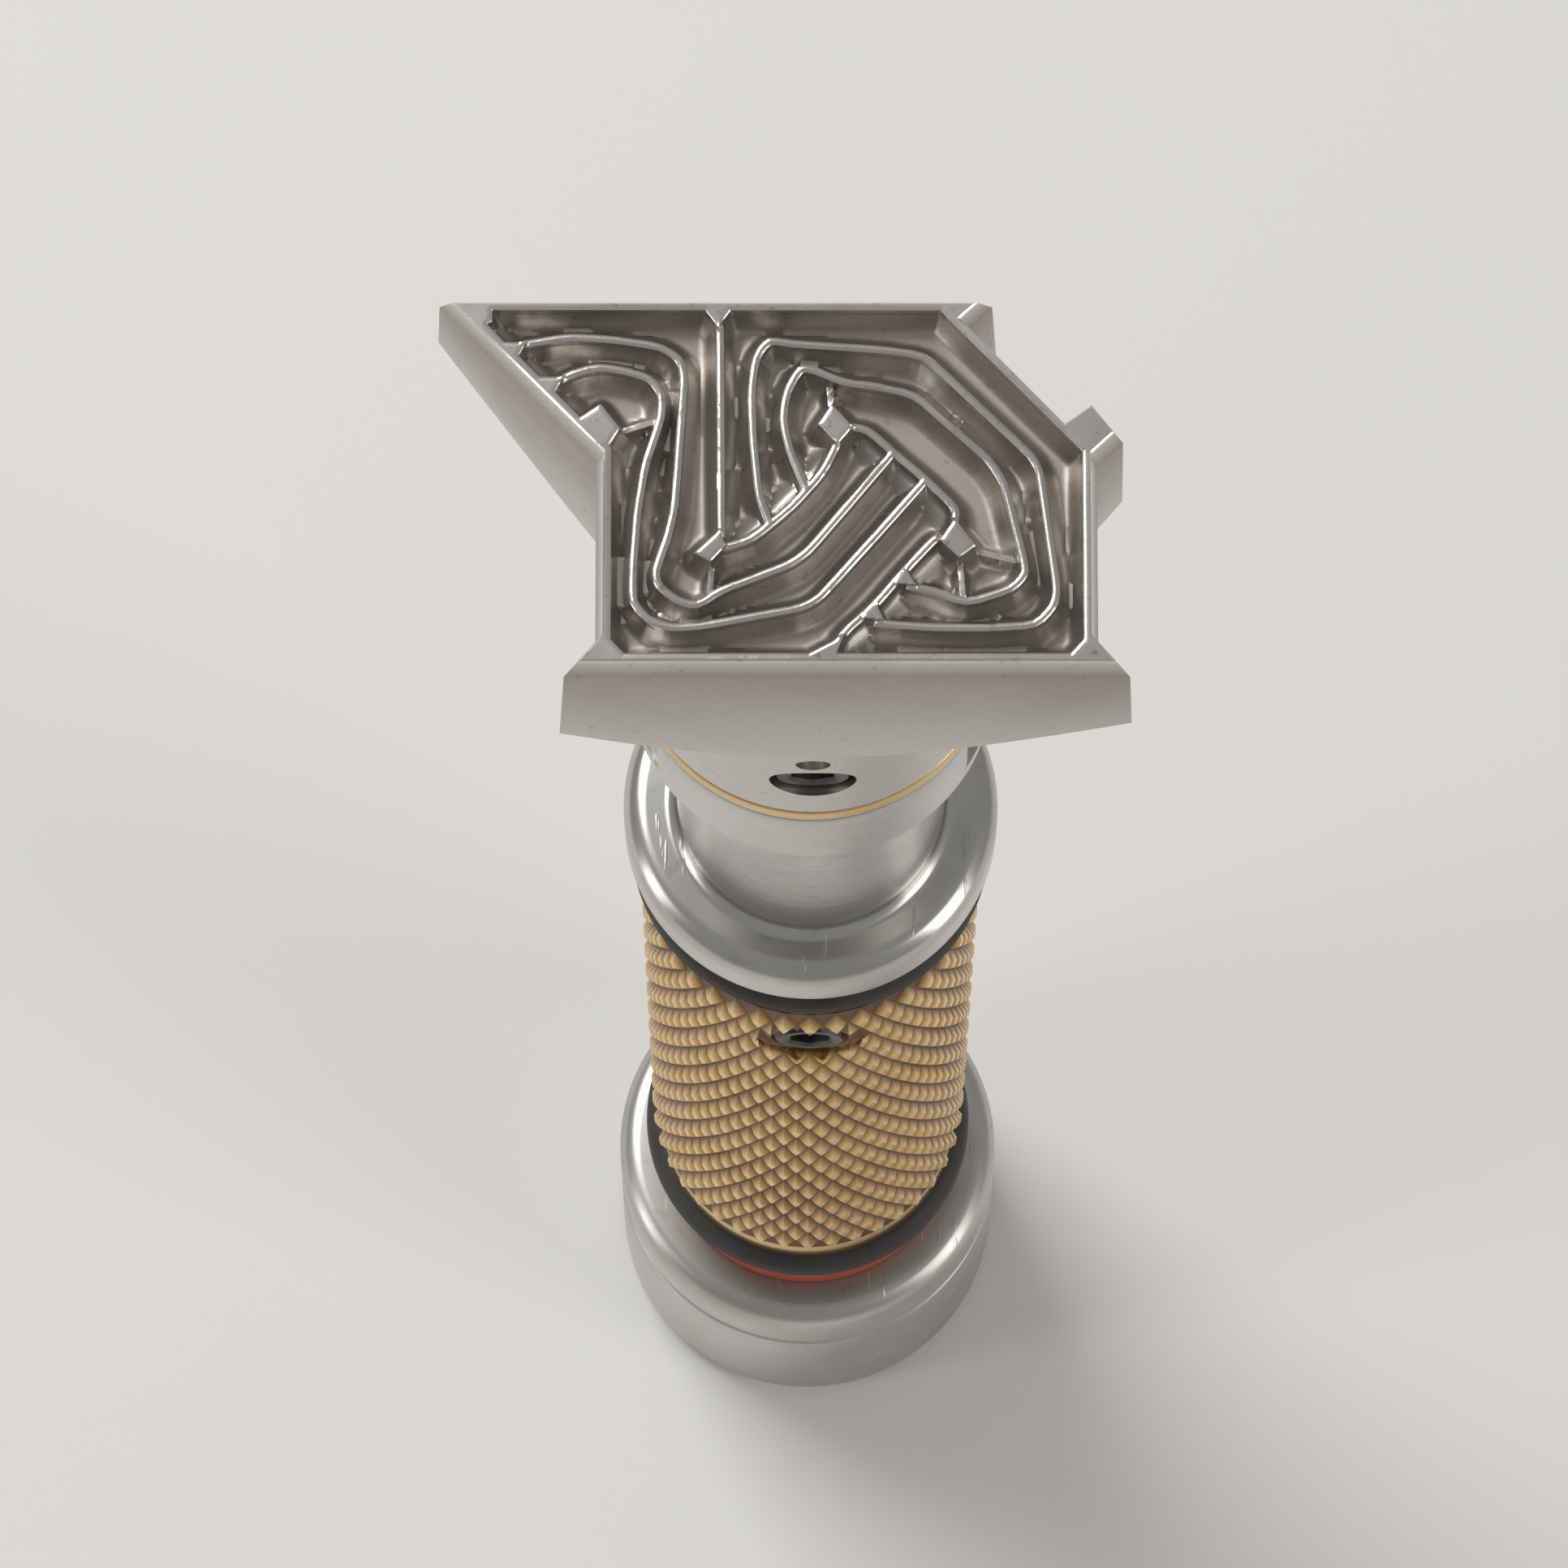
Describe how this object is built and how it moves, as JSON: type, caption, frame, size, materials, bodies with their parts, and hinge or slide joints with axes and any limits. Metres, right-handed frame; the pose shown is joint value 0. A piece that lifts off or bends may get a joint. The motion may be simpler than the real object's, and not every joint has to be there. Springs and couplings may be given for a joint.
{
  "type": "leather border stamp",
  "caption": "Hand-struck leather stamp with a screw-on steel head engraved with a mirrored interlace border, a knurled brass grip and a steel strike cap.",
  "frame": {"origin": "centre of the flat striking end", "axes": "+Z along the tool from the striking end to the engraved face, +Y towards the top of the pattern, -X towards the pattern's pointed spur"},
  "size_m": [0.0236, 0.016, 0.112],
  "materials": {
    "cap_steel": "turned, then polished and dented by use",
    "pin_steel": "spring steel, dark",
    "fibre": "red vulcanised fibre, matt",
    "shank_steel": "fine turned",
    "grip_brass": "diamond knurl, tarnished in the grooves",
    "ring_rubber": "matt black",
    "screw_black": "black oxide",
    "stud_steel": "threaded, oiled",
    "washer_brass": "flat lapped",
    "head_steel": "engraved, with burnished ridges and darker channels"
  },
  "bodies": {
    "handle": {"strike_cap": "cap_steel", "cap_pin": "pin_steel", "cap_bumper": "fibre", "shank": "shank_steel", "grip_sleeve": "grip_brass", "grip_rings": "ring_rubber", "grip_lock_screw": "screw_black", "head_stud": "stud_steel"},
    "washer": {"timing_washer": "washer_brass"},
    "head": {"stamp_head": "head_steel"},
    "head_lock": {"head_lock_screw": "screw_black"}
  },
  "joints": [
    {"name": "head_lift", "type": "slide", "parent": "handle", "child": "washer", "axis": [0, 0, 1], "range_m": [0, 0.00801]},
    {"name": "head_turn", "type": "hinge", "parent": "washer", "child": "head", "pos_m": [0, 0, 0.093], "axis": [0, 0, 1], "range_deg": [0, 2880]},
    {"name": "lock_release", "type": "slide", "parent": "head", "child": "head_lock", "axis": [0, -1, 0], "range_m": [0, 0.001]}
  ],
  "couplings": [
    {"joint": "head_lift", "follows": "head_turn", "m_per_rad": 0.00015915}
  ]
}
